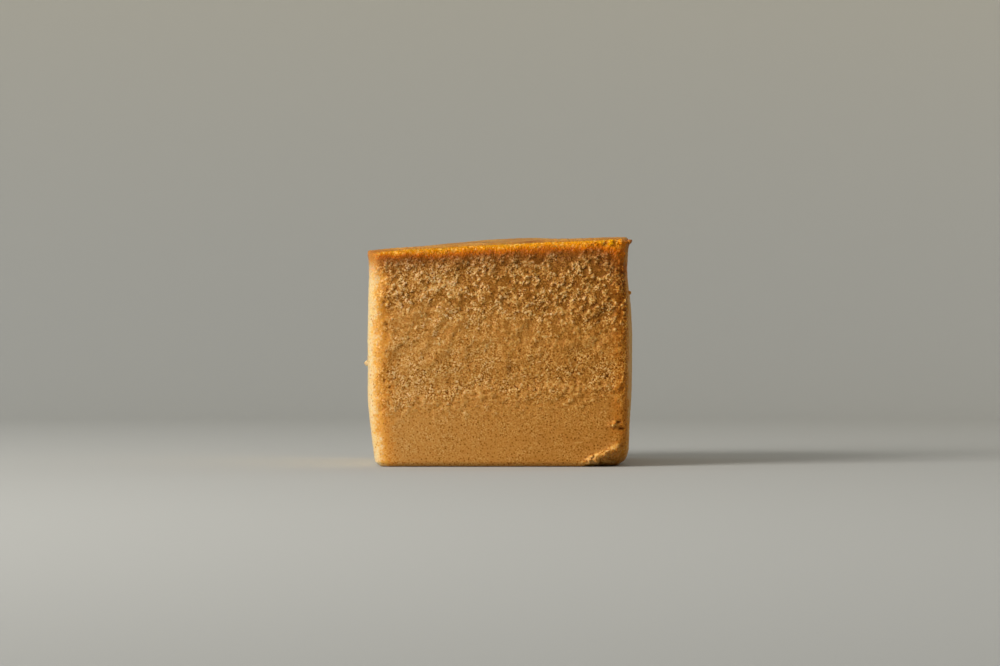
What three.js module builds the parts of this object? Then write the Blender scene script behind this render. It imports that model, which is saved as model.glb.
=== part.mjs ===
// A block cut from a baked loaf cheesecake: one solid, with a knife cut at the front and at the back,
// paper-lined sides that lean in to the base, and a baked top that slopes and domes a little.
// Millimetres, +Z up. The block stands on its base with the near cut towards -Y,
// and the origin is the middle of its bounding box at the base.

import * as THREE from 'three';
import { ImprovedNoise } from 'three/addons/math/ImprovedNoise.js';
import { mergeVertices } from 'three/addons/utils/BufferGeometryUtils.js';

const { clamp, lerp, smoothstep } = THREE.MathUtils;

// The block
const WIDTH = 60; // across the near cut, at mid height
const DEPTH = 65; // from the near cut to the far cut
const HEIGHT_LEFT = 49.9; // the baked top slopes up across the cut
const HEIGHT_RIGHT = 52.9;
const EDGE_CROWN = 0.4; // rise of the top's cut edge at its middle, over a straight slope
const DOME = 1.2; // rise of the middle of the top over its cut edge

// The two sides: how far the base is drawn in, from what height and how much of that comes near the base,
// how far the side swells at mid depth, how far it is drawn in below the edge of the baked top,
// and how far that edge stands out over it
const LEFT = { taper: 1.8, taperHeight: 16, taperPower: 1.5, swell: 0.4, waist: 0.35, lip: 0.35 };
const RIGHT = { taper: 1.4, taperHeight: 4, taperPower: 2, swell: 1.7, waist: 0.65, lip: 0.9 };
const WAIST_HEIGHT = 44.5;
const WAIST_SPAN = 4;
const WAIST_WANDER = 14; // length over which the waist comes and goes
const LIP_HEIGHT = 2.5; // of the edge that stands out

// Rounded edges
const FRONT_LEFT_RADIUS = 4;
const FRONT_RIGHT_RADIUS = 2.5;
const BACK_RADIUS = 3;
const BASE_RADIUS = 0.9;
const TOP_RADIUS_LEFT = 0.2; // the baked top's edge is sharp at the left and softer at the right
const TOP_RADIUS_RIGHT = 1.3;
const ROLL_RADIUS = 1.8; // where the knife rolled the baked skin over the cut

// The crumb on the cuts, from the base up: dense custard, a band of pores, then torn airy crumb
const DENSE_TOP_LEFT = 15.5; // the custard's upper edge climbs across the cut
const DENSE_TOP_RIGHT = 19.5;
const LIP_RAGGED = 1.4; // how far the upper edge of the dense custard wanders
const LIP_FINE_SHARE = 0.5; // share of the fine wander against the coarse one
const PORE_STEP = 0.45; // how far the pore band lies behind the custard
const PORE_STEP_WIDTH = 1;
const PORE_BAND = 9;
const CRAG_SIZE = 4.2;
const CRAG_DEPTH = 0.55;
const FLAKE_SIZE = 2.4;
const FLAKE_DEPTH = 0.45;
const CUSTARD_WAVE = 0.12;
const CUSTARD_WAVE_SIZE = 9;
const RELIEF_FADE_X = 0.15; // shares of the half width and half height in which the relief fades to the edges
const RELIEF_FADE_Z = 0.12;

// The baked top and the sides
const WRINKLE_SIZE = 9;
const WRINKLE_HEIGHT = 0.3;
const SIDE_WAVE_SIZE = 11;
const SIDE_WAVE = 0.2;

// The worn corner at the right of the near cut's base, with the torn ridge along its upper edge
const WORN_REACH = 11.5; // along the base, from the right side
const WORN_RISE = 5.6; // up the right side
const WORN_BACK = 9; // along the base, from the near cut
const WORN_HOLLOW = 0.08; // how far the wear goes in behind its flat, as a share of what it took
const WORN_CRISP = 0.1; // the wear's upper edge is crisp where it starts and softens towards the right side
const WORN_SOFT = 2;
const RIDGE_HEIGHT = 0.8;
const RIDGE_END = 3; // how far from the right side the ridge has faded out
const RIDGE_SPREAD = 0.7;

// Slices of the noise, so that no two reliefs repeat each other
const CUT_SLICE = 20;
const FLAKE_SLICE = 9;
const LIP_SLICE = 5;
const WRINKLE_SLICE = 3;

// The mesh
const SEGMENTS_X = 42;
const SEGMENTS_Y = 16;
const SEGMENTS_Z = 36;
const CROWDING_X = 0.12; // draws the mesh lines towards the block's edges
const CROWDING_Y = 0.3;
const CROWDING_Z = 0.14;
const MERGE_DISTANCE = 1e-3;

const CRUMB_COLOUR = 0xb9803f;
const CRUMB_ROUGHNESS = 0.8;

const perlin = new ImprovedNoise();

// A line parameter from -1 to 1, with more mesh lines near its ends.
function spread(t, crowding) {
  return t * (1 + crowding * (1 - t * t));
}

// 1 in the middle of a span of the given length, falling to 0 at its ends.
function arch(distance, span) {
  return 1 - clamp((2 * distance) / span, -1, 1) ** 2;
}

// How far a quarter-round edge draws a wall in, at a distance from the face that it rounds into.
function roundIn(distance, radius) {
  return radius - Math.sqrt(radius ** 2 - clamp(radius - distance, 0, radius) ** 2);
}

// A value that runs evenly from the left side to the right.
function acrossCut(x, left, right) {
  return lerp(left, right, clamp(x / WIDTH + 0.5, 0, 1));
}

function topHeight(x, y) {
  const slope = acrossCut(x, HEIGHT_LEFT, HEIGHT_RIGHT);
  return slope + EDGE_CROWN * arch(x, WIDTH) + DOME * (arch(x, WIDTH) * arch(y, DEPTH)) ** 2;
}

// Distance from the block's middle plane to its left or right side.
function sideReach(side, y, z, top) {
  const taper = side.taper * clamp(1 - z / side.taperHeight, 0, 1) ** side.taperPower;
  const swell = side.swell * arch(y, DEPTH) * Math.sin(Math.PI * clamp(z / top, 0, 1));
  const along = 1 + perlin.noise(y / WAIST_WANDER, side.waist, 0);
  const waist = side.waist * along * Math.exp(-(((z - WAIST_HEIGHT) / WAIST_SPAN) ** 2));
  const lip = side.lip * smoothstep(z, top - LIP_HEIGHT, top);
  return WIDTH / 2 - taper + swell - waist + lip;
}

// Rounds the upright edges of the flat plan: square rings round a corner's centre become quarter circles.
function roundPlan(x, y) {
  const frontRadius = x < 0 ? FRONT_LEFT_RADIUS : FRONT_RIGHT_RADIUS;
  const radius = y < 0 ? frontRadius : BACK_RADIUS;
  const centreX = clamp(x, radius - WIDTH / 2, WIDTH / 2 - radius);
  const centreY = clamp(y, radius - DEPTH / 2, DEPTH / 2 - radius);
  const offset = new THREE.Vector2(x - centreX, y - centreY);
  offset.setLength(Math.max(Math.abs(offset.x), Math.abs(offset.y)));
  return offset.add(new THREE.Vector2(centreX, centreY));
}

// Height of the crumb over the plane of a cut: crags and flakes above, a ragged step,
// and smooth custard below.
function cutRelief(x, z, slice) {
  const coarse = perlin.noise(x / CRAG_SIZE, slice, 0);
  const fine = perlin.noise(x / FLAKE_SIZE, slice, LIP_SLICE);
  const denseTop = acrossCut(x, DENSE_TOP_LEFT, DENSE_TOP_RIGHT);
  const overCustard = z - denseTop - LIP_RAGGED * (coarse + LIP_FINE_SHARE * fine);
  const torn = smoothstep(overCustard, 0, PORE_BAND);
  const crags = CRAG_DEPTH * perlin.noise(x / CRAG_SIZE, z / CRAG_SIZE, slice);
  const flakes = FLAKE_DEPTH * perlin.noise(x / FLAKE_SIZE, z / FLAKE_SIZE, slice + FLAKE_SLICE);
  const step = PORE_STEP * smoothstep(overCustard, 0, PORE_STEP_WIDTH) * (1 - torn);
  const wave = CUSTARD_WAVE * perlin.noise(x / CUSTARD_WAVE_SIZE, z / CUSTARD_WAVE_SIZE, slice);
  return torn * (crags + flakes) - step + wave;
}

// The flat that the worn corner falls back to, through three points:
// along the base, back along the foot of the side, and up the side.
const wornFlat = new THREE.Plane().setFromCoplanarPoints(
  new THREE.Vector3(WIDTH / 2 - WORN_REACH, -DEPTH / 2, 0),
  new THREE.Vector3(WIDTH / 2, -DEPTH / 2 + WORN_BACK, 0),
  new THREE.Vector3(WIDTH / 2, -DEPTH / 2, WORN_RISE),
);

// A distance where it is positive and 0 where it is negative, eased from one to the other.
function easedRise(distance, softness) {
  if (distance > softness) return distance;
  return Math.max(distance + softness, 0) ** 2 / (4 * softness);
}

// Presses a point that stands out of the worn corner back towards its flat.
function wearCorner(point) {
  const towardsSide = smoothstep(point.x, WIDTH / 2 - WORN_REACH / 2, WIDTH / 2);
  const softness = lerp(WORN_CRISP, WORN_SOFT, towardsSide);
  const outside = easedRise(wornFlat.distanceToPoint(point), softness);
  point.addScaledVector(wornFlat.normal, -(1 + WORN_HOLLOW) * outside);
}

// Height of the ridge that the wear tore up along the corner's upper edge.
function ridgeHeight(point) {
  const inside = wornFlat.distanceToPoint(point);
  const starts = smoothstep(point.x, WIDTH / 2 - WORN_REACH, WIDTH / 2 - WORN_REACH / 2);
  const ends = smoothstep(WIDTH / 2 - point.x, RIDGE_END / 2, RIDGE_END);
  return RIDGE_HEIGHT * starts * ends * Math.exp(-((inside / RIDGE_SPREAD) ** 2));
}

// The point of the cake's surface for a point of a cube from -1 to 1.
function cakePoint(u, v, w) {
  const plan = roundPlan((spread(u, CROWDING_X) * WIDTH) / 2, (spread(v, CROWDING_Y) * DEPTH) / 2);
  const top = topHeight(plan.x, plan.y);
  const z = (top * (spread(w, CROWDING_Z) + 1)) / 2;

  const side = u < 0 ? LEFT : RIGHT;
  const topRadius = acrossCut(plan.x, TOP_RADIUS_LEFT, TOP_RADIUS_RIGHT);
  const edge = Math.max(roundIn(z, BASE_RADIUS), roundIn(top - z, topRadius));
  const roll = v < 0 ? roundIn(top - z, ROLL_RADIUS) : edge;
  const wave = SIDE_WAVE * u * perlin.noise(plan.y / SIDE_WAVE_SIZE, z / SIDE_WAVE_SIZE, u);
  const x = (plan.x * (sideReach(side, plan.y, z, top) - edge)) / (WIDTH / 2) + wave;
  const y = plan.y * (1 - Math.max(edge, roll) / (DEPTH / 2));
  const point = new THREE.Vector3(x, y, z);

  const fade = smoothstep(1 - Math.abs(u), 0, RELIEF_FADE_X) * smoothstep(1 - Math.abs(w), 0, RELIEF_FADE_Z);
  if (Math.abs(v) === 1) point.y += v * fade * cutRelief(x, z, v * CUT_SLICE);
  if (v === -1) point.y -= ridgeHeight(point);
  if (w === 1) point.z += WRINKLE_HEIGHT * perlin.noise(x / WRINKLE_SIZE, y / WRINKLE_SIZE, WRINKLE_SLICE);
  wearCorner(point);
  return point;
}

function cheesecakeGeometry() {
  const cube = new THREE.BoxGeometry(2, 2, 2, SEGMENTS_X, SEGMENTS_Y, SEGMENTS_Z);
  const position = cube.getAttribute('position');
  for (let i = 0; i < position.count; i++) {
    const point = cakePoint(position.getX(i), position.getY(i), position.getZ(i));
    position.setXYZ(i, point.x, point.y, point.z);
  }
  cube.deleteAttribute('normal');
  cube.deleteAttribute('uv');
  const cake = mergeVertices(cube, MERGE_DISTANCE);
  cake.computeBoundingBox();
  const middle = cake.boundingBox.getCenter(new THREE.Vector3());
  cake.translate(-middle.x, -middle.y, -cake.boundingBox.min.z);
  cake.computeVertexNormals();
  return cake;
}

const crumb = new THREE.MeshStandardMaterial({
  color: CRUMB_COLOUR,
  roughness: CRUMB_ROUGHNESS,
  metalness: 0,
});

const cheesecake = new THREE.Mesh(cheesecakeGeometry(), crumb);
cheesecake.name = 'cheesecake';

const part = new THREE.Group();
part.add(cheesecake);

export default part;
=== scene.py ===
"""A block cut from a baked loaf cheesecake.

Torn airy crumb lies over dense custard, with a browned top and golden sides.
"""

import math
import random

import bmesh
import bpy
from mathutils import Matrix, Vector, noise


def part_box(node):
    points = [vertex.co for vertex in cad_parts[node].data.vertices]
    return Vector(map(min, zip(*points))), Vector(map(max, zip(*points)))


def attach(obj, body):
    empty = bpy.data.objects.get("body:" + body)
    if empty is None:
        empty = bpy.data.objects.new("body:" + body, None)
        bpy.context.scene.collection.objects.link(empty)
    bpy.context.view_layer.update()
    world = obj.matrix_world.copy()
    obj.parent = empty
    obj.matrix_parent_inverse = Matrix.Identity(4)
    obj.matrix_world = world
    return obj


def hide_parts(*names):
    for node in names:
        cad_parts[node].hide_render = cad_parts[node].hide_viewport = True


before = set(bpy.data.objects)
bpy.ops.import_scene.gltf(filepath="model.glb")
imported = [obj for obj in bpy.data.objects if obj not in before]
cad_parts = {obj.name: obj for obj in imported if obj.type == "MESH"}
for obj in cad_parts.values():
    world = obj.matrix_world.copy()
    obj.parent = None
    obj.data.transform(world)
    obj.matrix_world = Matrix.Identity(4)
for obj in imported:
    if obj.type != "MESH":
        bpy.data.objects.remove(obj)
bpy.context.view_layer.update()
bpy.ops.object.select_all(action="DESELECT")

MM = 0.001  # lengths are in millimetres where no heading says metres, and Blender works in metres

# The view
LENS = 142.6
SENSOR = 36.0
CUT_DISTANCE = 911  # from the lens to the near cut
EYE_HEIGHT = 30.8
EYE_SIDE = -0.2
NEAREST_SEEN = 50
FARTHEST_SEEN = 10_000

# The block, as it stands in the frame
BLOCK_HEIGHT = 53.4
NEAR_CUT = -32.45
TOP_EDGE = 51.6  # height of the top's cut edge at the middle of the cut
TOP_SLOPE = 0.05  # its rise for each millimetre to the right
LEFT_SIDE = -30.7
DRAWN_IN = 2.0  # how far the left side is drawn in at the base
DRAWN_HEIGHT = 14  # height that it is drawn in from
DRAWN_POWER = 2.0  # of the curve that it follows
RIGHT_SIDE = 29.7
RIGHT_PART = 20.0  # where the right part begins, in which the skin takes its own tint and the browning under the crust is stronger, up to the right side

# The mesh
CAGE_CUTS = (53, 31, 45)  # along X, Y and Z
SMOOTHINGS = 2
MOST_TRIANGLES = 190_000

# A band is a pair of values: where something begins, and where it is whole.
# Bands of the cuts, by depth behind them, and of the sides, by distance from them
CUT_CRUMB = (2.2, 0.8)
CUT_CRUST = (1.3, 0.5)
PAST_LEFT_SKIN = (0.8, 4.1)
PAST_RIGHT_SKIN = (-0.3, 0.6)
RAGGED_RIM = 2.5  # how far torn patches and fine grain each shift the golden rim by a side
NARROW_RIM = 1.6  # how much narrower that rim is at the right side
RIM_SPAN = (-0.8, 5.9)  # distances from a side that the rim's colours run over
RIM_GRANULES = 1.6  # how far single granules carry them inwards
RIM_TINT = (7.0, 2.5)  # where the crumb takes the golden tint
GOLDEN_TINT_AND_GLOW = (1.2, 1.0, 0.58, 1.0)  # linear, of the crumb by the sides, where it is partly a painted glow of light through the thin edge, and on the torn ridge
OFF_FLOOR = (0.2, 2.0)  # heights over which the relief sets in, so that the base stays flat

# The worn corner: where the corner was, how far the wear goes along X, Y and Z, and bands in shares of that
WORN_CORNER = (29.45, -32.45, 0)
WORN_SIZE = (11.5, 9, 5.6)
WORN_FLAT = (1.06, 0.96)
RIDGE_OUTSIDE = (1.24, 1.04)
RIDGE_INSIDE = (0.84, 0.96)
RIDGE_FROM_SIDE = (1.5, 3.5)  # distance from the right side
RIDGE_RELIEF = 1.0

# Nicks in the near cut: middle along X and Z, half width and half height
NICKS = ((27.1, 10.3, 0.7, 0.3), (27.9, 8.8, 0.9, 0.35))
NICK_CRUMB = (25.9, 9.9, 1.3, 0.9)  # the pale crumb torn up beside them
NICK_REACH = 2.0  # how far they go in behind the cut
NICK_BAND = (1.2, 0.4)  # in shares of the half sizes
NICK_DEPTH = 0.6

# The crumb by height over the base: shares of torn clusters, of pits, of fine grain and of smooth lumps
CRUMB_BY_HEIGHT = (
    (0, (0.00, 0.00, 0.30, 0.0)),
    (9, (0.04, 0.06, 0.34, 0.1)),
    (13, (0.10, 0.12, 0.32, 0.4)),
    (16.5, (0.32, 0.25, 0.45, 1.0)),
    (18.5, (0.25, 0.60, 0.80, 0.3)),
    (24.5, (0.25, 0.55, 0.75, 0.1)),
    (28, (0.32, 0.25, 0.45, 0.2)),
    (34, (0.45, 0.30, 0.50, 0.2)),
    (40, (0.95, 0.60, 0.80, 0.0)),
    (50, (0.85, 0.60, 0.80, 0.0)),
)
LAYER_SLOPE = 0.067  # rise of the custard's upper edge for each millimetre to the right
LAYER_SHIFT = 4.0  # how far torn patches shift the layers up and down
AIRY_SLOPE = 0.2  # fall of the airy crumb's lower edge for each millimetre to the right of the middle
AIRY_HEIGHTS = (25, 34)  # band over which that fall sets in
CALM_SHARE = 0.7  # of the torn clusters at the left side, growing to all of them at CALM_END
CALM_END = 10
CLUSTER_LIFE = 1.1  # how much livelier the grain is on a cluster than in a gap
PATCH_BAND = (0.42, 0.58)
PATCH_LIFE = (0.55, 1.35)  # how lively the grain is from calm patches to torn ones

# Sizes in the crumb and the skin
RAGGED_SIZE = 2.6  # torn patches
CLUSTER_SIZE = 1.6
GRANULE_SIZE = 0.7
LUMP_SIZE = 1.3
PIT_SIZE = 0.85
GRAIN_SIZE = 0.36
PINHOLE_SPACING = 0.9
PORE_SPACING = 1.1  # in the skin of the sides
SPECK_SIZE = 0.9  # bumps of the skin
SUGAR_SIZE = 0.45  # sugar granules of the crust
MOTTLE_SIZE = 9  # browning of the top
DRAG_ANGLE = 35  # degrees up from level, the way the knife dragged the crumb
DRAG_STRETCH = 0.9  # scale that way, which makes the crumb a little longer
FAR_CUT_SHIFT = 90  # moves the pinholes along, so that the two cuts differ

# Bands of the textures themselves, which run from 0 to 1
CLUSTER_BAND = (0.455, 0.525)
GRANULE_BAND = (0.6, 0.3)
LUMP_BAND = (0.38, 0.62)
PIT_BAND = (0.4, 0.28)
PORE_BAND = (0.32, 0.1)
PORE_SHARE = 0.7
PINHOLE_BAND = (0.32, 0.08)
FAINT_PINHOLE = 0.35  # strength of the faintest one
GRANULE_HEIGHTS = (0.4, 1.6)  # of the lowest and the highest granule
PAINTED_GLINT_BAND = (0.92, 0.98)  # the few granules painted pale all over: painted highlights that stand for glints
WARM_BAND = (0.48, 0.3)  # warm specks of the skin
WARM_SHARE = 0.7

# What the fields of the crumb add up to: a field, where it counts, its middle value and its weight
RELIEF_WEIGHTS = (
    ("cluster", "torn", 0.4, 0.22),
    ("granule", "torn", 0.2, 0.21),
    ("lump", "lumpy", 0.5, 0.28),
    ("pit", "pitted", 0.1, -0.27),
)
# The tone paints raised parts paler and sunk ones darker over the crumb's own pale and brown patches:
# painted shade in the pits, at the granules' borders and in the gaps, and painted highlights on lumps,
# clusters and granule middles.
TONE_WITH_PAINTED_LIGHT_AND_SHADE = (
    ("cluster", "torn", 0.62, 0.29),
    ("granule", "torn", 0.27, 0.31),
    ("painted_glint", "torn", 0.02, 0.22),
    ("lump", "lumpy", 0.4, 0.16),
    ("grain", "lively", 0.5, 2.1),
    ("pit", "pitted", 0.1, -0.4),
)
BUMP_WEIGHTS = (
    ("granule", "torn", 0.0, 0.8),
    ("grain", "torn", 0.0, 1.2),
    ("pit", "pitted", 0.0, -0.8),
)
SKIN_RELIEF = 0.2
PATCH_TONES = (0.45, 0.59)  # from calm patches to torn ones
RIDGE_TONES = (0.1, 0.5)  # from the hollows of the torn ridge to its lumps
# painted shade: dark dots stand for the pinholes, which the mesh does not have
PINHOLE_PAINTED_SHADE = -0.29
RIGHTWARD_PAINTED_SHADE = -0.002  # painted shade: the crumb darkens for each millimetre to the right, away from the light
WORN_TONE = 0.06
# painted shade in the nicks, which also sink in the relief
NICK_PAINTED_SHADE = -0.3
RIDGE_TINT = 0.5  # share of the golden tint on the torn ridge

# The crust, by depth below the top's edge
CRUST_GRAIN = 0.6  # how far fine grain, torn patches and sugar each shift its lower edge
CRUST_PATCHES = 1.1
CRUST_SUGAR = 0.25
CRUST_SPAN = 6.6  # depth that its colours run over
THICK_WIDTH = 10  # stretch by the right side over which it grows thicker
THICK_TIMES = 1.8
UNDER_CRUST = (2.2, 4.4)
RELIEF_UNDER_CRUST = (1.6, 3.0)
BROWNED_BAND = (8.0, 2.5)
BROWNED_SHARES = (0.5, 0.75)  # over most of the block, and at the right side
CRUST_PAINTED_LIGHT = (0.87, 1.12)  # painted light: the crust is painted brighter from left to right, to make up for the light falling off to the right
DAPPLED = (0.2, 1.8)  # and from its darkest grain to its palest
# Bright sugar grains near the top of the crust: pale specks that are partly painted highlights standing for
# glints
SUGAR_GLINT_BAND = (0.75, 0.88)
SUGAR_GLINT_SHARE = 0.9
SUGAR_GLINT_DEPTH = (2.2, 0.6)
CORNER_BAND = (3.5, 0.5)  # the paler corner, by distance from the left side
CORNER_SHARE = 0.45
TURNED_BAND = (4.5, 1)  # the amber end, by distance from the right side
TURNED_SHARE = 0.75
TOP_BAND = (0.8, 0.2)
UNDERSIDE_BAND = (0.4, 0.1)  # by height over the base

# Colours along each ramp
CRUMB_COLOURS = ((0.0, "#5e2f00"), (0.3, "#8c5919"), (0.5, "#b27c39"), (0.7, "#c19555"), (1.0, "#d6b384"))
RIM_COLOURS = ((0.0, "#d3be92"), (0.25, "#d9bb84"), (0.5, "#d39a36"), (0.8, "#bf8229"))
# the dark brown below the crust's amber is partly real browning and partly painted shadow under the crust's
# lip
CRUST_COLOURS = ((0.0, "#e39c0c"), (0.16, "#d88804"), (0.3, "#b86000"), (0.42, "#94500c"), (1.0, "#9a652c"))
BROWNING_COLOURS = ((0.0, "#a86624"), (0.3, "#b87a30"), (0.7, "#cc9648"))
TOP_COLOURS = ((0.3, "#96602a"), (0.5, "#bb823c"), (0.7, "#d09c54"))

# Colours that lie over those
WARM_COLOUR = "#c48818"
PORE_COLOUR = "#a86a20"
# pale sugar grains, partly a painted highlight
SUGAR_GLINT_COLOUR = "#ffc860"
CORNER_COLOUR = "#e0a458"
TURNED_COLOUR = "#c86e0c"

# Colours that tint those: skin and crumb towards the right, and skin and crumb that browned under the crust
RIGHT_SKIN = "#f6dcae"
RIGHT_CRUMB = "#fffae6"
BROWNED_SKIN = "#dc9040"
BROWNED_CRUMB = "#a57546"

# The finish of the cake
CRUMB_ROUGHNESS = 0.5
CRUST_ROUGHNESS = 0.28
TOP_ROUGHNESS = 0.52
SPECULAR_LEVEL = 0.1
LIGHT_SUNK = 0.3  # share of the light that sinks in, how far, and the share of that for red, green and blue
LIGHT_REACH = 1.2
LIGHT_COLOURS = (1.0, 0.45, 0.15)
BUMP_STRENGTH = 0.6
BUMP_HEIGHT = 0.2
SUGAR_BUMP = 3.0

# Crumbs that cling to the block: place, width, and how many lie together there
CRUMBS = (
    ((30.6, -27.5, 40.2), 1.5, 1),
    ((-31.3, -26.3, 23.9), 2.2, 1),
    ((30.6, -31.0, 52.2), 1.4, 1),
    ((22.4, -34.0, 51.6), 1.0, 6),
    ((26.0, -34.0, 51.8), 1.2, 8),
    ((20.2, -33.5, 1.3), 0.9, 3),
    ((21.6, -33.5, 2.0), 1.2, 3),
    ((22.8, -33.5, 2.6), 1.4, 2),
    ((24.4, -33.5, 3.4), 1.0, 3),
    ((26.2, -33.5, 4.2), 0.8, 3),
    ((25.4, -33.5, 9.8), 0.7, 5),
)
CRUMB_SEED = 4
CRUMB_SPREAD = 0.7  # how far the crumbs of one place lie apart, in crumb widths
CRUMB_FLATNESS = 0.4  # how far apart they lie in height, in shares of that
CRUMB_SUNK = 0.4  # share of a crumb that is under the surface
CRUMB_WIDTHS = (0.6, 1.2)  # smallest and largest, in shares of the width given
CRUMB_SHAPES = ((0.7, 1.3), (0.7, 1.1), (0.6, 1.0))  # the same for its three axes
CRUMB_LUMPS = 2.2  # lumps across a crumb
CRUMB_LUMP_HEIGHT = 0.45  # in shares of its radius
CRUMB_NOISE_STEP = 7  # moves the lumps along, so that no two crumbs are alike

# The stage, in metres
FLOOR_RADIUS = 1.25
FLOOR_SIDES = 128
FLOOR_FORWARD = 0.32  # how far the middle of the floor lies in front of the cake
WALL_HEIGHT = 0.9
WALL_CURVE = 0.45
WALL_STEPS = 24
WALL_ANGLE = 60  # degrees, the least bend that is rounded
FLOOR_COLOUR = "#b4b6b4"
WALL_COLOUR = "#cfc9b4"
BOARD_ROUGHNESS = 0.8
BOARD_SPECULAR = 0.2

# Soft boxes, in metres, watts and degrees: place, aim, width and height, power, colour and spread
CAKE_MIDDLE = (0, 0, 0.025)
WIDE = 180
LIGHTS = (
    ("key", (-0.66, -0.5, 0.395), CAKE_MIDDLE, (0.52, 0.52), 5.1, "#fffaf4", 130),
    ("fill", (-0.4, -1.1, 0.7), CAKE_MIDDLE, (0.8, 0.6), 1.6, "#fffdfa", WIDE),
    ("wall", (-0.55, 0.2, 0.5), (-0.3, 1.0, 0.15), (0.5, 0.3), 0.8, "#fbfcff", WIDE),
    ("side", (0.7, 0.45, 0.45), CAKE_MIDDLE, (0.6, 0.5), 0.9, "#fff0dc", WIDE),
)
ROOM_COLOUR = "#f6f6f4"
ROOM_STRENGTH = 0.35


def srgb(code):
    """Linear RGBA of an sRGB hex colour."""
    shares = [int(code[i:i + 2], 16) / 255 for i in (1, 3, 5)]
    return (*[s / 12.92 if s <= 0.04045 else ((s + 0.055) / 1.055) ** 2.4 for s in shares], 1.0)


def shades(colours):
    """A colour ramp's stops, from places along it and sRGB hex colours."""
    return [(place, srgb(code)) for place, code in colours]


def add(tree, kind, links=(), **settings):
    """Adds a node with its settings, sets or joins its inputs, and returns its first output in use."""
    node = tree.nodes.new(kind)
    stops = settings.pop("stops", [])
    for name, value in settings.items():
        setattr(node, name, value)
    for key, value in dict(links).items():
        named = [s for s in node.inputs if s.enabled and s.name == key]
        socket = named[0] if named else node.inputs[key]
        if isinstance(value, bpy.types.NodeSocket):
            tree.links.new(value, socket)
        else:
            socket.default_value = value
    for place, colour in stops[1:-1]:
        node.color_ramp.elements.new(place).color = colour
    for end, (place, colour) in zip((0, -1), (stops[:1] + stops[-1:])):
        node.color_ramp.elements[end].position = place
        node.color_ramp.elements[end].color = colour
    return next((s for s in node.outputs if s.enabled), None)


def crumb_texture(tree, point):
    """Pale torn clusters of rounded granules with a few painted highlights as glints, lumps, pits and fine
    grain, and the pores of the skin.
    """
    slant = add(tree, "ShaderNodeVectorRotate", {"Vector": point, "Angle": math.radians(DRAG_ANGLE)},
                rotation_type="Y_AXIS")
    drag = add(tree, "ShaderNodeVectorMath", {0: slant, 1: (DRAG_STRETCH, 1, 1)}, operation="MULTIPLY")
    granules = add(tree, "ShaderNodeTexVoronoi", {"Vector": drag, "Scale": 1 / GRANULE_SIZE}).node.outputs
    pores = add(tree, "ShaderNodeTexVoronoi", {"Vector": point, "Scale": 1 / PORE_SPACING})
    field = {"rounded": granules["Distance"], "pore": pores}
    for name, vector, size, detail, roughness in (
            ("ragged", drag, RAGGED_SIZE, 3.0, 0.6),
            ("cluster", granules["Position"], CLUSTER_SIZE, 3.0, 0.75),
            ("lump", point, LUMP_SIZE, 1.0, 0.5),
            ("pit", point, PIT_SIZE, 1.0, 0.5),
            ("grain", point, GRAIN_SIZE, 1.0, 0.5)):
        field[name] = add(tree, "ShaderNodeTexNoise",
                          {"Vector": vector, "Scale": 1 / size, "Detail": detail, "Roughness": roughness})
    for name, (start, whole), most in (
            ("cluster", CLUSTER_BAND, 1.0),
            ("rounded", GRANULE_BAND, 1.0),
            ("lump", LUMP_BAND, 1.0),
            ("pit", PIT_BAND, 1.0),
            ("pore", PORE_BAND, PORE_SHARE)):
        field[name] = add(tree, "ShaderNodeMapRange",
                          {"Value": field[name], "From Min": start, "From Max": whole, "To Max": most},
                          interpolation_type="SMOOTHSTEP")

    own_tone = add(tree, "ShaderNodeSeparateXYZ", {0: granules["Color"]})
    own_height = add(tree, "ShaderNodeMapRange",
                     {"Value": own_tone, "To Min": GRANULE_HEIGHTS[0], "To Max": GRANULE_HEIGHTS[1]})
    # the palest few granules get a painted highlight: pale colour that stands in for glints
    painted_glint_share = add(tree, "ShaderNodeMapRange",
                 {"Value": own_tone, "From Min": PAINTED_GLINT_BAND[0], "From Max": PAINTED_GLINT_BAND[1]})
    bead = add(tree, "ShaderNodeMath", {0: field["rounded"], 1: own_height}, operation="MULTIPLY")
    return {
        **field,
        "bead": bead,
        "granule": add(tree, "ShaderNodeMath", {0: field["cluster"], 1: bead}, operation="MULTIPLY"),
        "painted_glint": add(tree, "ShaderNodeMath", {0: field["rounded"], 1: painted_glint_share}, operation="MULTIPLY"),
    }


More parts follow.
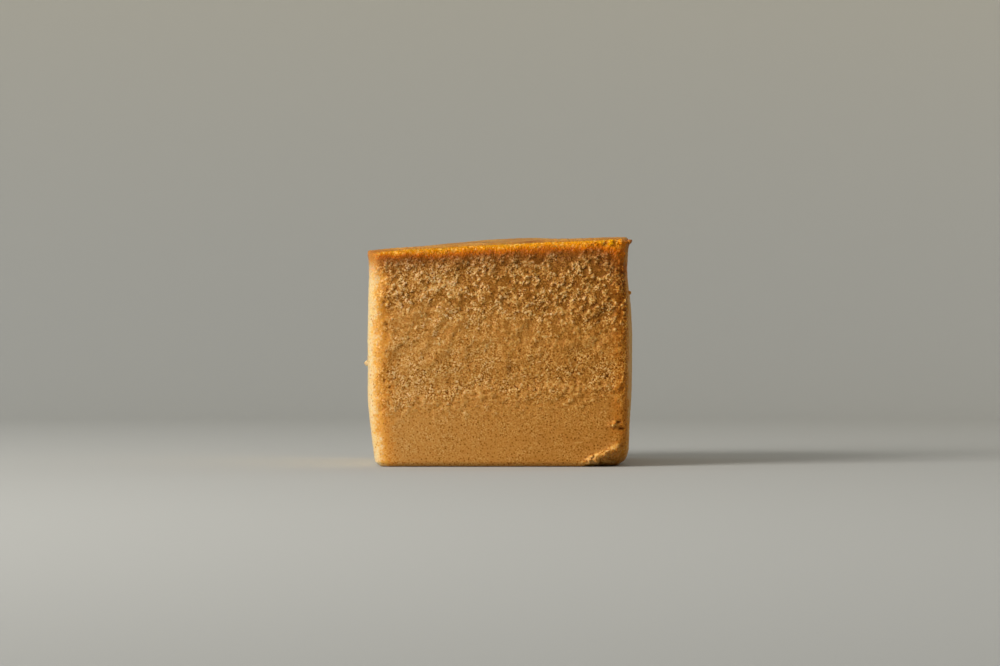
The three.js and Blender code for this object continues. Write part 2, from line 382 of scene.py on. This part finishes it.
def sides_and_cuts(tree, field):
    """How far a point lies below the top and in from the golden sides, and whether it is on a cut."""
    x, y, z = field["x"], field["y"], field["z"]
    edge = add(tree, "ShaderNodeMath", {0: x, 1: TOP_SLOPE, 2: TOP_EDGE}, operation="MULTIPLY_ADD")
    below_top = add(tree, "ShaderNodeMath", {0: edge, 1: z}, operation="SUBTRACT")
    from_middle = add(tree, "ShaderNodeMath", {0: y}, operation="ABSOLUTE")

    drawn = add(tree, "ShaderNodeMapRange", {"Value": z, "From Min": DRAWN_HEIGHT, "From Max": 0.0})
    drawn = add(tree, "ShaderNodeMath", {0: drawn, 1: DRAWN_POWER}, operation="POWER")
    left_side = add(tree, "ShaderNodeMath", {0: drawn, 1: DRAWN_IN, 2: LEFT_SIDE}, operation="MULTIPLY_ADD")
    off_left = add(tree, "ShaderNodeMath", {0: x, 1: left_side}, operation="SUBTRACT")
    off_right = add(tree, "ShaderNodeMath", {0: RIGHT_SIDE + NARROW_RIM, 1: x}, operation="SUBTRACT")
    inwards = add(tree, "ShaderNodeMath", {0: off_left, 1: off_right}, operation="MINIMUM")
    patches, grains = (
        add(tree, "ShaderNodeMapRange", {"Value": field[name], "To Min": -RAGGED_RIM, "To Max": RAGGED_RIM})
        for name in ("ragged", "grain"))
    ragged_edge = add(tree, "ShaderNodeMath", {0: patches, 1: grains}, operation="ADD")
    off_left = add(tree, "ShaderNodeMath", {0: off_left, 1: ragged_edge}, operation="ADD")
    inwards = add(tree, "ShaderNodeMath", {0: inwards, 1: ragged_edge}, operation="ADD")

    band = {}
    for name, value, start, whole in (
            ("on_cut", from_middle, -NEAR_CUT - CUT_CRUMB[0], -NEAR_CUT - CUT_CRUMB[1]),
            ("cut_edge", from_middle, -NEAR_CUT - CUT_CRUST[0], -NEAR_CUT - CUT_CRUST[1]),
            ("from_left", off_left, *PAST_LEFT_SKIN),
            ("from_right", x, RIGHT_SIDE - PAST_RIGHT_SKIN[0], RIGHT_SIDE - PAST_RIGHT_SKIN[1])):
        band[name] = add(tree, "ShaderNodeMapRange", {"Value": value, "From Min": start, "From Max": whole},
                         interpolation_type="SMOOTHSTEP")
    inside = add(tree, "ShaderNodeMath", {0: band["from_left"], 1: band["from_right"]},
                 operation="MULTIPLY")
    cut = add(tree, "ShaderNodeMath", {0: inside, 1: band["on_cut"]}, operation="MULTIPLY")
    return {"below_top": below_top, "off_left": off_left, "inwards": inwards, "cut": cut,
            "cut_edge": band["cut_edge"]}


def worn_corner(tree, field):
    """The worn corner, which shows crumb as a cut does, its torn ridge, and the nicks above it."""
    point = field["point"]
    from_corner = add(tree, "ShaderNodeVectorMath", {0: point, 1: WORN_CORNER}, operation="SUBTRACT")
    slopes = (-1 / WORN_SIZE[0], 1 / WORN_SIZE[1], 1 / WORN_SIZE[2])
    wear = add(tree, "ShaderNodeVectorMath", {0: from_corner, 1: slopes}, operation="DOT_PRODUCT")
    wear = wear.node.outputs["Value"]
    band = {}
    for name, value, start, whole in (
            ("worn", wear, *WORN_FLAT),
            ("outside", wear, *RIDGE_OUTSIDE),
            ("inside", wear, *RIDGE_INSIDE),
            ("off_side", field["x"], RIGHT_SIDE - RIDGE_FROM_SIDE[0], RIGHT_SIDE - RIDGE_FROM_SIDE[1])):
        band[name] = add(tree, "ShaderNodeMapRange", {"Value": value, "From Min": start, "From Max": whole},
                         interpolation_type="SMOOTHSTEP")
    ridge = add(tree, "ShaderNodeMath", {0: band["outside"], 1: band["inside"]}, operation="MULTIPLY")
    ridge = add(tree, "ShaderNodeMath", {0: ridge, 1: band["off_side"]}, operation="MULTIPLY")

    spots = []
    for middle_x, middle_z, half_width, half_height in (*NICKS, NICK_CRUMB):
        middle = (middle_x, NEAR_CUT, middle_z)
        shares = (1 / half_width, 1 / NICK_REACH, 1 / half_height)
        off = add(tree, "ShaderNodeVectorMath", {0: point, 1: middle}, operation="SUBTRACT")
        off = add(tree, "ShaderNodeVectorMath", {0: off, 1: shares}, operation="MULTIPLY")
        away = add(tree, "ShaderNodeVectorMath", {0: off}, operation="LENGTH").node.outputs["Value"]
        spots.append(add(tree, "ShaderNodeMapRange",
                         {"Value": away, "From Min": NICK_BAND[0], "From Max": NICK_BAND[1]},
                         interpolation_type="SMOOTHSTEP"))
    *nicks, torn_up = spots
    return {
        "worn": band["worn"],
        "cut": add(tree, "ShaderNodeMath", {0: field["cut"], 1: band["worn"]}, operation="MAXIMUM"),
        "nick": add(tree, "ShaderNodeMath", {0: nicks[0], 1: nicks[1]}, operation="MAXIMUM"),
        "ridge": add(tree, "ShaderNodeMath", {0: ridge, 1: torn_up}, operation="MAXIMUM"),
    }


def crumb_kinds(tree, field):
    """Shares of each kind of crumb, by height over the sloping layers."""
    x, z = field["x"], field["z"]
    shift = add(tree, "ShaderNodeMapRange",
                {"Value": field["ragged"], "To Min": -LAYER_SHIFT, "To Max": LAYER_SHIFT})
    level = add(tree, "ShaderNodeMath", {0: x, 1: -LAYER_SLOPE, 2: z}, operation="MULTIPLY_ADD")
    level = add(tree, "ShaderNodeMath", {0: level, 1: shift}, operation="ADD")
    fall = add(tree, "ShaderNodeMapRange",
               {"Value": z, "From Min": AIRY_HEIGHTS[0], "From Max": AIRY_HEIGHTS[1], "To Max": AIRY_SLOPE},
               interpolation_type="SMOOTHSTEP")
    to_right = add(tree, "ShaderNodeMath", {0: x, 1: 0.0}, operation="MAXIMUM")
    level = add(tree, "ShaderNodeMath", {0: fall, 1: to_right, 2: level}, operation="MULTIPLY_ADD")
    level = add(tree, "ShaderNodeMath", {0: level, 1: BLOCK_HEIGHT}, operation="DIVIDE")
    kinds = add(tree, "ShaderNodeValToRGB", {"Fac": level},
                stops=[(height / BLOCK_HEIGHT, shares) for height, shares in CRUMB_BY_HEIGHT])
    clusters, pitted, grainy = add(tree, "ShaderNodeSeparateXYZ", {0: kinds}).node.outputs

    calmer = add(tree, "ShaderNodeMapRange",
                 {"Value": x, "From Min": LEFT_SIDE, "From Max": CALM_END,
                  "To Min": CALM_SHARE, "To Max": 1.0})
    torn = add(tree, "ShaderNodeMath", {0: clusters, 1: calmer}, operation="MULTIPLY")
    lively = add(tree, "ShaderNodeMath", {0: field["cluster"], 1: CLUSTER_LIFE, 2: -CLUSTER_LIFE / 2},
                 operation="MULTIPLY_ADD")
    lively = add(tree, "ShaderNodeMath", {0: lively, 1: torn, 2: 1.0}, operation="MULTIPLY_ADD")
    patchy = add(tree, "ShaderNodeMapRange",
                 {"Value": field["ragged"], "From Min": PATCH_BAND[0], "From Max": PATCH_BAND[1],
                  "To Min": PATCH_LIFE[0], "To Max": PATCH_LIFE[1]})
    for share in (patchy, grainy):
        lively = add(tree, "ShaderNodeMath", {0: lively, 1: share}, operation="MULTIPLY")
    return {"torn": torn, "pitted": pitted, "lively": lively, "lumpy": kinds.node.outputs["Alpha"]}


def crumb_fields(tree, place):
    """The fields that the relief and the colours of the cake share, by name."""
    point = add(tree, "ShaderNodeVectorMath", {0: place, "Scale": 1 / MM}, operation="SCALE")
    x, y, z = add(tree, "ShaderNodeSeparateXYZ", {0: point}).node.outputs
    field = {"point": point, "x": x, "y": y, "z": z, **crumb_texture(tree, point)}
    for part in (sides_and_cuts, worn_corner, crumb_kinds):
        field.update(part(tree, field))
    return field


def add_up(tree, field, total, weights):
    """Adds to a total how far each field is from its middle value, where it counts, times its weight."""
    for name, share, middle, weight in weights:
        part = add(tree, "ShaderNodeMath", {0: field[name], 1: middle}, operation="SUBTRACT")
        part = add(tree, "ShaderNodeMath", {0: part, 1: field[share]}, operation="MULTIPLY")
        total = add(tree, "ShaderNodeMath", {0: part, 1: weight, 2: total}, operation="MULTIPLY_ADD")
    return total


def relief_nodes():
    """Geometry nodes that raise the clusters and sink the pits of the crumb along the surface's normal."""
    tree = bpy.data.node_groups.new("crumb_relief", "GeometryNodeTree")
    for way in ("INPUT", "OUTPUT"):
        tree.interface.new_socket("Geometry", in_out=way, socket_type="NodeSocketGeometry")
    shape = add(tree, "NodeGroupInput")
    place = add(tree, "GeometryNodeInputPosition")
    normal = add(tree, "GeometryNodeInputNormal")
    field = crumb_fields(tree, place)

    under_crust, off_floor = (
        add(tree, "ShaderNodeMapRange",
            {"Value": value, "From Min": start, "From Max": whole, "To Max": most},
            interpolation_type="SMOOTHSTEP")
        for value, (start, whole), most in (
            (field["below_top"], RELIEF_UNDER_CRUST, 1.0), (field["z"], OFF_FLOOR, MM)))
    crumb = add_up(tree, field, 0.0, RELIEF_WEIGHTS)
    crumb = add(tree, "ShaderNodeMath", {0: crumb, 1: under_crust}, operation="MULTIPLY")
    specks = add(tree, "ShaderNodeTexNoise",
                 {"Vector": field["point"], "Scale": 1 / SPECK_SIZE, "Detail": 2.0})
    skin = add(tree, "ShaderNodeMapRange", {"Value": specks, "To Min": -SKIN_RELIEF, "To Max": SKIN_RELIEF})
    cut = add(tree, "ShaderNodeMix", {"Factor": under_crust, "A": skin, "B": crumb})
    height = add(tree, "ShaderNodeMix", {"Factor": field["cut"], "A": skin, "B": cut})
    ridge = add(tree, "ShaderNodeMath", {0: field["lump"], 1: field["ridge"]}, operation="MULTIPLY")
    for form, rise in ((ridge, RIDGE_RELIEF), (field["nick"], -NICK_DEPTH)):
        height = add(tree, "ShaderNodeMath", {0: form, 1: rise, 2: height}, operation="MULTIPLY_ADD")
    height = add(tree, "ShaderNodeMath", {0: height, 1: off_floor}, operation="MULTIPLY")
    offset = add(tree, "ShaderNodeVectorMath", {0: normal, "Scale": height}, operation="SCALE")
    moved = add(tree, "GeometryNodeSetPosition", {"Geometry": shape, "Offset": offset})
    add(tree, "NodeGroupOutput", {"Geometry": moved})
    return tree


def pinholes(tree, field):
    """Pinholes of the custard, painted as dark dots of shade with no hole in the mesh, some faint and some
    strong, in a pattern that differs on the two cuts.
    """
    far_cut = add(tree, "ShaderNodeMath", {0: field["y"], 1: 0.0}, operation="GREATER_THAN")
    across = add(tree, "ShaderNodeMath", {0: far_cut, 1: FAR_CUT_SHIFT, 2: field["x"]},
                 operation="MULTIPLY_ADD")
    flat = add(tree, "ShaderNodeCombineXYZ", {0: across, 1: field["z"]})
    holes = add(tree, "ShaderNodeTexVoronoi", {"Vector": flat, "Scale": 1 / PINHOLE_SPACING},
                voronoi_dimensions="2D").node.outputs
    hole = add(tree, "ShaderNodeMapRange",
               {"Value": holes["Distance"], "From Min": PINHOLE_BAND[0], "From Max": PINHOLE_BAND[1]},
               interpolation_type="SMOOTHSTEP")
    strength = add(tree, "ShaderNodeSeparateXYZ", {0: holes["Color"]})
    strength = add(tree, "ShaderNodeMapRange", {"Value": strength, "To Min": FAINT_PINHOLE})
    custard = add(tree, "ShaderNodeMath", {0: 1.0, 1: field["torn"]}, operation="SUBTRACT")
    for share in (strength, custard):
        hole = add(tree, "ShaderNodeMath", {0: hole, 1: share}, operation="MULTIPLY")
    return hole


def crumb_colour(tree, field):
    """Tan crumb: pale torn clusters and dark pits over smooth brown gaps, and custard with pinholes; pits,
    gaps and granule borders are darkened with painted shade, and lumps and granule middles lightened with
    painted highlights.
    """
    tone = add(tree, "ShaderNodeMapRange",
               {"Value": field["ragged"], "To Min": PATCH_TONES[0], "To Max": PATCH_TONES[1]})
    tone = add_up(tree, field, tone, TONE_WITH_PAINTED_LIGHT_AND_SHADE)
    ridge_tone = add(tree, "ShaderNodeMapRange",
                     {"Value": field["lump"], "To Min": RIDGE_TONES[0], "To Max": RIDGE_TONES[1]})
    for amount, weight in (
            (pinholes(tree, field), PINHOLE_PAINTED_SHADE),
            (field["x"], RIGHTWARD_PAINTED_SHADE),
            (field["ridge"], ridge_tone),
            (field["worn"], WORN_TONE),
            (field["nick"], NICK_PAINTED_SHADE)):
        tone = add(tree, "ShaderNodeMath", {0: amount, 1: weight, 2: tone}, operation="MULTIPLY_ADD")
    crumb = add(tree, "ShaderNodeValToRGB", {"Fac": tone}, stops=shades(CRUMB_COLOURS))

    to_right = add(tree, "ShaderNodeMapRange",
                   {"Value": field["x"], "From Min": LEFT_SIDE, "From Max": RIGHT_SIDE})
    # the golden tint by the sides is partly a painted glow of light shining through the thin edge
    by_side = add(tree, "ShaderNodeMapRange",
                  {"Value": field["inwards"], "From Min": RIM_TINT[0], "From Max": RIM_TINT[1]},
                  interpolation_type="SMOOTHSTEP")
    on_ridge = add(tree, "ShaderNodeMath", {0: field["ridge"], 1: RIDGE_TINT}, operation="MULTIPLY")
    golden_and_glow = add(tree, "ShaderNodeMath", {0: by_side, 1: on_ridge}, operation="MAXIMUM")
    for share, tint in ((to_right, srgb(RIGHT_CRUMB)), (golden_and_glow, GOLDEN_TINT_AND_GLOW)):
        crumb = add(tree, "ShaderNodeMix", {"Factor": share, "A": crumb, "B": tint},
                    data_type="RGBA", blend_type="MULTIPLY")
    return crumb


def golden_skin(tree, field):
    """Golden skin of the sides: pale outside and deeper further in, with warm specks and darker pores."""
    granular = add(tree, "ShaderNodeMath", {0: field["bead"], 1: -RIM_GRANULES, 2: field["inwards"]},
                   operation="MULTIPLY_ADD")
    inwards = add(tree, "ShaderNodeMapRange",
                  {"Value": granular, "From Min": RIM_SPAN[0], "From Max": RIM_SPAN[1]})
    skin = add(tree, "ShaderNodeValToRGB", {"Fac": inwards}, stops=shades(RIM_COLOURS))
    warm = add(tree, "ShaderNodeMapRange",
               {"Value": field["grain"], "From Min": WARM_BAND[0], "From Max": WARM_BAND[1],
                "To Max": WARM_SHARE})
    for share, code in ((warm, WARM_COLOUR), (field["pore"], PORE_COLOUR)):
        skin = add(tree, "ShaderNodeMix", {"Factor": share, "A": skin, "B": srgb(code)}, data_type="RGBA")
    on_right = add(tree, "ShaderNodeMapRange",
                   {"Value": field["x"], "From Min": RIGHT_PART, "From Max": RIGHT_SIDE})
    return add(tree, "ShaderNodeMix", {"Factor": on_right, "A": skin, "B": srgb(RIGHT_SKIN)},
               data_type="RGBA", blend_type="MULTIPLY")


def crust_depth(tree, field, sugar):
    """Depth below the top's edge as the crust counts it: uneven, and less where the crust is thicker."""
    depth = field["below_top"]
    for texture, shift in (
            (field["grain"], CRUST_GRAIN), (field["ragged"], CRUST_PATCHES), (sugar, CRUST_SUGAR)):
        uneven = add(tree, "ShaderNodeMapRange", {"Value": texture, "To Min": -shift, "To Max": shift})
        depth = add(tree, "ShaderNodeMath", {0: depth, 1: uneven}, operation="ADD")
    thicker = add(tree, "ShaderNodeMapRange",
                  {"Value": field["x"], "From Min": RIGHT_SIDE - THICK_WIDTH, "From Max": RIGHT_SIDE,
                   "To Min": 1.0, "To Max": THICK_TIMES},
                  interpolation_type="SMOOTHSTEP")
    return add(tree, "ShaderNodeMath", {0: depth, 1: thicker}, operation="DIVIDE")


def body_colour(tree, field, depth):
    """Skin and crumb below the crust, browned towards it."""
    body = add(tree, "ShaderNodeMix",
               {"Factor": field["cut"], "A": golden_skin(tree, field), "B": crumb_colour(tree, field)},
               data_type="RGBA")
    most = add(tree, "ShaderNodeMapRange",
               {"Value": field["x"], "From Min": RIGHT_PART, "From Max": RIGHT_SIDE,
                "To Min": BROWNED_SHARES[0], "To Max": BROWNED_SHARES[1]})
    browned = add(tree, "ShaderNodeMapRange",
                  {"Value": depth, "From Min": BROWNED_BAND[0], "From Max": BROWNED_BAND[1],
                   "To Max": most},
                  interpolation_type="SMOOTHSTEP")
    baked = add(tree, "ShaderNodeMix",
                {"Factor": field["cut"], "A": srgb(BROWNED_SKIN), "B": srgb(BROWNED_CRUMB)},
                data_type="RGBA")
    return add(tree, "ShaderNodeMix", {"Factor": browned, "A": body, "B": baked},
               data_type="RGBA", blend_type="MULTIPLY")


def crust_colour(tree, field, depth, sugar):
    """Crust: on a cut, amber over dark brown that is partly painted shadow under its lip, with bright
    grains of sugar that are partly painted highlights, and plain browning behind it.
    """
    shade = add(tree, "ShaderNodeMath", {0: depth, 1: CRUST_SPAN}, operation="DIVIDE")
    crust = add(tree, "ShaderNodeValToRGB", {"Fac": shade}, stops=shades(CRUST_COLOURS))
    painted_light = add(tree, "ShaderNodeMapRange",
                 {"Value": field["x"], "From Min": LEFT_SIDE, "From Max": RIGHT_SIDE,
                  "To Min": CRUST_PAINTED_LIGHT[0], "To Max": CRUST_PAINTED_LIGHT[1]})
    dappled = add(tree, "ShaderNodeMapRange",
                  {"Value": field["grain"], "To Min": DAPPLED[0], "To Max": DAPPLED[1]})
    brightness = add(tree, "ShaderNodeMath", {0: painted_light, 1: dappled}, operation="MULTIPLY")
    crust = add(tree, "ShaderNodeVectorMath", {0: crust, "Scale": brightness}, operation="SCALE")

    # pale sugar grains near the top edge: partly painted highlights
    grains = add(tree, "ShaderNodeMapRange",
                 {"Value": sugar, "From Min": SUGAR_GLINT_BAND[0], "From Max": SUGAR_GLINT_BAND[1],
                  "To Max": SUGAR_GLINT_SHARE})
    upper = add(tree, "ShaderNodeMapRange",
                {"Value": depth, "From Min": SUGAR_GLINT_DEPTH[0], "From Max": SUGAR_GLINT_DEPTH[1]})
    grains = add(tree, "ShaderNodeMath", {0: grains, 1: upper}, operation="MULTIPLY")
    corner = add(tree, "ShaderNodeMapRange",
                 {"Value": field["off_left"], "From Min": CORNER_BAND[0], "From Max": CORNER_BAND[1],
                  "To Max": CORNER_SHARE},
                 interpolation_type="SMOOTHSTEP")
    turned = add(tree, "ShaderNodeMapRange",
                 {"Value": field["x"], "From Min": RIGHT_SIDE - TURNED_BAND[0],
                  "From Max": RIGHT_SIDE - TURNED_BAND[1], "To Max": TURNED_SHARE},
                 interpolation_type="SMOOTHSTEP")
    for share, code in ((grains, SUGAR_GLINT_COLOUR), (corner, CORNER_COLOUR), (turned, TURNED_COLOUR)):
        crust = add(tree, "ShaderNodeMix", {"Factor": share, "A": crust, "B": srgb(code)}, data_type="RGBA")
    browning = add(tree, "ShaderNodeValToRGB", {"Fac": shade}, stops=shades(BROWNING_COLOURS))
    return add(tree, "ShaderNodeMix", {"Factor": field["cut_edge"], "A": browning, "B": crust},
               data_type="RGBA")


def mottled_skin(tree, field, on_top, colour):
    """Lays the mottled brown skin of the top and of the underside over the colour of the rest."""
    mottle = add(tree, "ShaderNodeTexNoise",
                 {"Vector": field["point"], "Scale": 1 / MOTTLE_SIZE, "Detail": 5.0})
    skin = add(tree, "ShaderNodeValToRGB", {"Fac": mottle}, stops=shades(TOP_COLOURS))
    underneath = add(tree, "ShaderNodeMapRange",
                     {"Value": field["z"], "From Min": UNDERSIDE_BAND[0], "From Max": UNDERSIDE_BAND[1]})
    mottled = add(tree, "ShaderNodeMath", {0: on_top, 1: underneath}, operation="MAXIMUM")
    return add(tree, "ShaderNodeMix", {"Factor": mottled, "A": colour, "B": skin}, data_type="RGBA")


def crumb_bump(tree, field, crust, on_top):
    """Bump of granules and pits that are too fine for the mesh, and of the sugar on the crust."""
    sugared = add(tree, "ShaderNodeMath", {0: crust, 1: on_top}, operation="SUBTRACT", use_clamp=True)
    sugared = add(tree, "ShaderNodeMath", {0: field["grain"], 1: sugared}, operation="MULTIPLY")
    height = add_up(tree, field, 0.0, BUMP_WEIGHTS)
    height = add(tree, "ShaderNodeMath", {0: sugared, 1: SUGAR_BUMP, 2: height}, operation="MULTIPLY_ADD")
    return add(tree, "ShaderNodeBump",
               {"Strength": BUMP_STRENGTH, "Distance": BUMP_HEIGHT * MM, "Height": height})


def baked_cheesecake():
    """Baked cheesecake: moist matte crumb that light sinks into, with a glossier browned skin."""
    material = bpy.data.materials.new("baked_cheesecake")
    material.use_nodes = True
    tree = material.node_tree
    tree.nodes.clear()
    place = add(tree, "ShaderNodeTexCoord").node.outputs["Object"]
    field = crumb_fields(tree, place)
    sugar = add(tree, "ShaderNodeTexVoronoi", {"Vector": field["point"], "Scale": 1 / SUGAR_SIZE})
    sugar = add(tree, "ShaderNodeSeparateXYZ", {0: sugar.node.outputs["Color"]})
    depth = crust_depth(tree, field, sugar)
    under, on_top = (
        add(tree, "ShaderNodeMapRange", {"Value": value, "From Min": start, "From Max": whole},
            interpolation_type="SMOOTHSTEP")
        for value, (start, whole) in ((depth, UNDER_CRUST), (field["below_top"], TOP_BAND)))
    on_top = add(tree, "ShaderNodeMath", {0: on_top, 1: field["cut_edge"]},
                 operation="SUBTRACT", use_clamp=True)
    crust = add(tree, "ShaderNodeMath", {0: 1.0, 1: under}, operation="SUBTRACT")

    colour = add(tree, "ShaderNodeMix",
                 {"Factor": under, "A": crust_colour(tree, field, depth, sugar),
                  "B": body_colour(tree, field, depth)},
                 data_type="RGBA")
    colour = mottled_skin(tree, field, on_top, colour)
    gloss = add(tree, "ShaderNodeMapRange",
                {"Value": crust, "To Min": CRUMB_ROUGHNESS, "To Max": CRUST_ROUGHNESS})
    gloss = add(tree, "ShaderNodeMix", {"Factor": on_top, "A": gloss, "B": TOP_ROUGHNESS})
    finish = add(tree, "ShaderNodeBsdfPrincipled", {
        "Base Color": colour,
        "Roughness": gloss,
        "Normal": crumb_bump(tree, field, crust, on_top),
        "Specular IOR Level": SPECULAR_LEVEL,
        "Subsurface Weight": LIGHT_SUNK,
        "Subsurface Radius": LIGHT_COLOURS,
        "Subsurface Scale": LIGHT_REACH * MM,
    })
    add(tree, "ShaderNodeOutputMaterial", {"Surface": finish})
    return material


def painted_board():
    """Matt painted board: a grey floor that runs up into a warmer wall, with hardly any gloss."""
    material = bpy.data.materials.new("matt_painted_board")
    material.use_nodes = True
    tree = material.node_tree
    tree.nodes.clear()
    place = add(tree, "ShaderNodeTexCoord").node.outputs["Object"]
    height = add(tree, "ShaderNodeSeparateXYZ", {0: place}).node.outputs["Z"]
    up = add(tree, "ShaderNodeMapRange", {"Value": height, "From Max": WALL_CURVE},
             interpolation_type="SMOOTHSTEP")
    colour = add(tree, "ShaderNodeMix", {"Factor": up, "A": srgb(FLOOR_COLOUR), "B": srgb(WALL_COLOUR)},
                 data_type="RGBA")
    finish = add(tree, "ShaderNodeBsdfPrincipled",
                 {"Base Color": colour, "Roughness": BOARD_ROUGHNESS, "Specular IOR Level": BOARD_SPECULAR})
    add(tree, "ShaderNodeOutputMaterial", {"Surface": finish})
    return material


def apply_modifier(piece, kind, **settings):
    """Adds a modifier with its settings to the piece and applies it."""
    modifier = piece.modifiers.new(kind.lower(), kind)
    for name, value in settings.items():
        setattr(modifier, name, value)
    bpy.context.view_layer.objects.active = piece
    bpy.ops.object.modifier_apply(modifier=modifier.name)


def make_body():
    """The block: a cage settled on the solid, rounded, and given the relief of its crumb."""
    low, high = (Vector(corner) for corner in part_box("cheesecake"))
    bpy.ops.mesh.primitive_cube_add(size=1, location=(low + high) / 2, scale=high - low)
    body = bpy.context.object
    body.name = "cheesecake_body"
    bpy.ops.object.transform_apply(location=True, rotation=True, scale=True)

    bpy.ops.object.mode_set(mode="EDIT")
    for axis, cuts in enumerate(CAGE_CUTS):
        cage = bmesh.from_edit_mesh(body.data)
        for edge in cage.edges:
            run = edge.verts[1].co - edge.verts[0].co
            edge.select_set(abs(run[axis]) > 0.5 * run.length)  # the edges that run along the axis
        bmesh.update_edit_mesh(body.data)
        bpy.ops.mesh.subdivide(number_cuts=cuts)
    bpy.ops.object.mode_set(mode="OBJECT")

    for _ in range(SMOOTHINGS):
        apply_modifier(body, "SHRINKWRAP", target=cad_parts["cheesecake"])
        apply_modifier(body, "SUBSURF", levels=1, render_levels=1)
    apply_modifier(body, "NODES", node_group=relief_nodes())
    body.data.calc_loop_triangles()
    apply_modifier(body, "DECIMATE", ratio=min(1.0, MOST_TRIANGLES / len(body.data.loop_triangles)))
    bpy.ops.object.shade_smooth()
    body.data.materials.append(baked_cheesecake())
    bpy.ops.object.select_all(action="DESELECT")

    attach(body, "root")
    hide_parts("cheesecake")
    return body


def make_crumb(draw, number, size, surface, normal):
    """One lumpy crumb, turned any way, partly sunk in the surface and clear of the floor."""
    bpy.ops.mesh.primitive_ico_sphere_add(subdivisions=3, radius=size / 2)
    crumb = bpy.context.object
    for vertex in crumb.data.vertices:
        lump = noise.noise(vertex.co / size * CRUMB_LUMPS + Vector((number * CRUMB_NOISE_STEP, 0, 0)))
        vertex.co *= 1 + CRUMB_LUMP_HEIGHT * lump
    crumb.scale = [draw.uniform(*limits) for limits in CRUMB_SHAPES]
    crumb.rotation_euler = [draw.uniform(0, math.tau) for _ in range(3)]
    crumb.location = surface + normal * size * (0.5 - CRUMB_SUNK)
    crumb.location.z = max(crumb.location.z, size)
    return crumb


def make_crumbs(body):
    """The crumbs stuck to the cake, singly and in small heaps, as one piece."""
    draw = random.Random(CRUMB_SEED)
    grains = []
    for middle, width, count in CRUMBS:
        spread = CRUMB_SPREAD if count > 1 else 0
        for _ in range(count):
            apart = Vector((draw.gauss(0, 1), 0, draw.gauss(0, CRUMB_FLATNESS))) * width * spread
            _, surface, normal, _ = body.closest_point_on_mesh((Vector(middle) + apart) * MM)
            size = width * draw.uniform(*CRUMB_WIDTHS) * MM
            grains.append(make_crumb(draw, len(grains), size, surface, normal))

    bpy.ops.object.select_all(action="DESELECT")
    for grain in grains:
        grain.select_set(True)
    bpy.context.view_layer.objects.active = grains[0]
    bpy.ops.object.transform_apply(location=True, rotation=True, scale=True)
    bpy.ops.object.join()
    crumbs = bpy.context.object
    crumbs.name = "clinging_crumbs"
    bpy.ops.object.shade_smooth()
    crumbs.data.materials.append(body.data.materials[0])
    bpy.ops.object.select_all(action="DESELECT")
    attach(crumbs, "root")


def make_stage():
    """A round floor whose rim sweeps up into a wall."""
    bpy.ops.mesh.primitive_circle_add(
        vertices=FLOOR_SIDES, radius=FLOOR_RADIUS, fill_type="NGON", location=(0, -FLOOR_FORWARD, 0))
    stage = bpy.context.object
    stage.name = "floor"
    bpy.ops.object.transform_apply(location=True, rotation=True, scale=True)
    bpy.ops.object.mode_set(mode="EDIT")
    bpy.ops.mesh.select_all(action="SELECT")
    bpy.ops.mesh.region_to_loop()
    bpy.ops.mesh.extrude_region_move(TRANSFORM_OT_translate={"value": (0, 0, WALL_HEIGHT)})
    bpy.ops.object.mode_set(mode="OBJECT")
    apply_modifier(stage, "BEVEL", width=WALL_CURVE, segments=WALL_STEPS,
                   limit_method="ANGLE", angle_limit=math.radians(WALL_ANGLE))
    bpy.ops.object.shade_smooth()
    stage.data.materials.append(painted_board())
    bpy.ops.object.select_all(action="DESELECT")


def make_lights():
    """Soft boxes, with a grid where the spread is narrow, in an evenly lit room."""
    for name, place, aim, (width, height), power, colour, spread in LIGHTS:
        bpy.ops.object.light_add(type="AREA", location=place)
        light = bpy.context.object
        light.name = name
        light.rotation_euler = (Vector(aim) - Vector(place)).to_track_quat("-Z", "Y").to_euler()
        light.data.shape = "RECTANGLE"
        light.data.size = width
        light.data.size_y = height
        light.data.energy = power
        light.data.color = srgb(colour)[:3]
        light.data.spread = math.radians(spread)
        light.visible_camera = False
        light.select_set(False)
    world = bpy.data.worlds.new("studio")
    bpy.context.scene.world = world
    world.use_nodes = True
    room = world.node_tree.nodes["Background"].inputs
    room["Color"].default_value = srgb(ROOM_COLOUR)
    room["Strength"].default_value = ROOM_STRENGTH


def make_camera():
    """A long lens, level and square to the near cut."""
    eye = (EYE_SIDE * MM, (NEAR_CUT - CUT_DISTANCE) * MM, EYE_HEIGHT * MM)
    bpy.ops.object.camera_add(location=eye, rotation=(math.radians(90), 0, 0))
    camera = bpy.context.object
    camera.name = "camera"
    camera.data.lens = LENS
    camera.data.sensor_width = SENSOR
    camera.data.clip_start = NEAREST_SEEN * MM
    camera.data.clip_end = FARTHEST_SEEN * MM
    camera.select_set(False)
    bpy.context.scene.camera = camera


bpy.context.scene.view_settings.view_transform = "Standard"
make_camera()
make_stage()
make_lights()
make_crumbs(make_body())
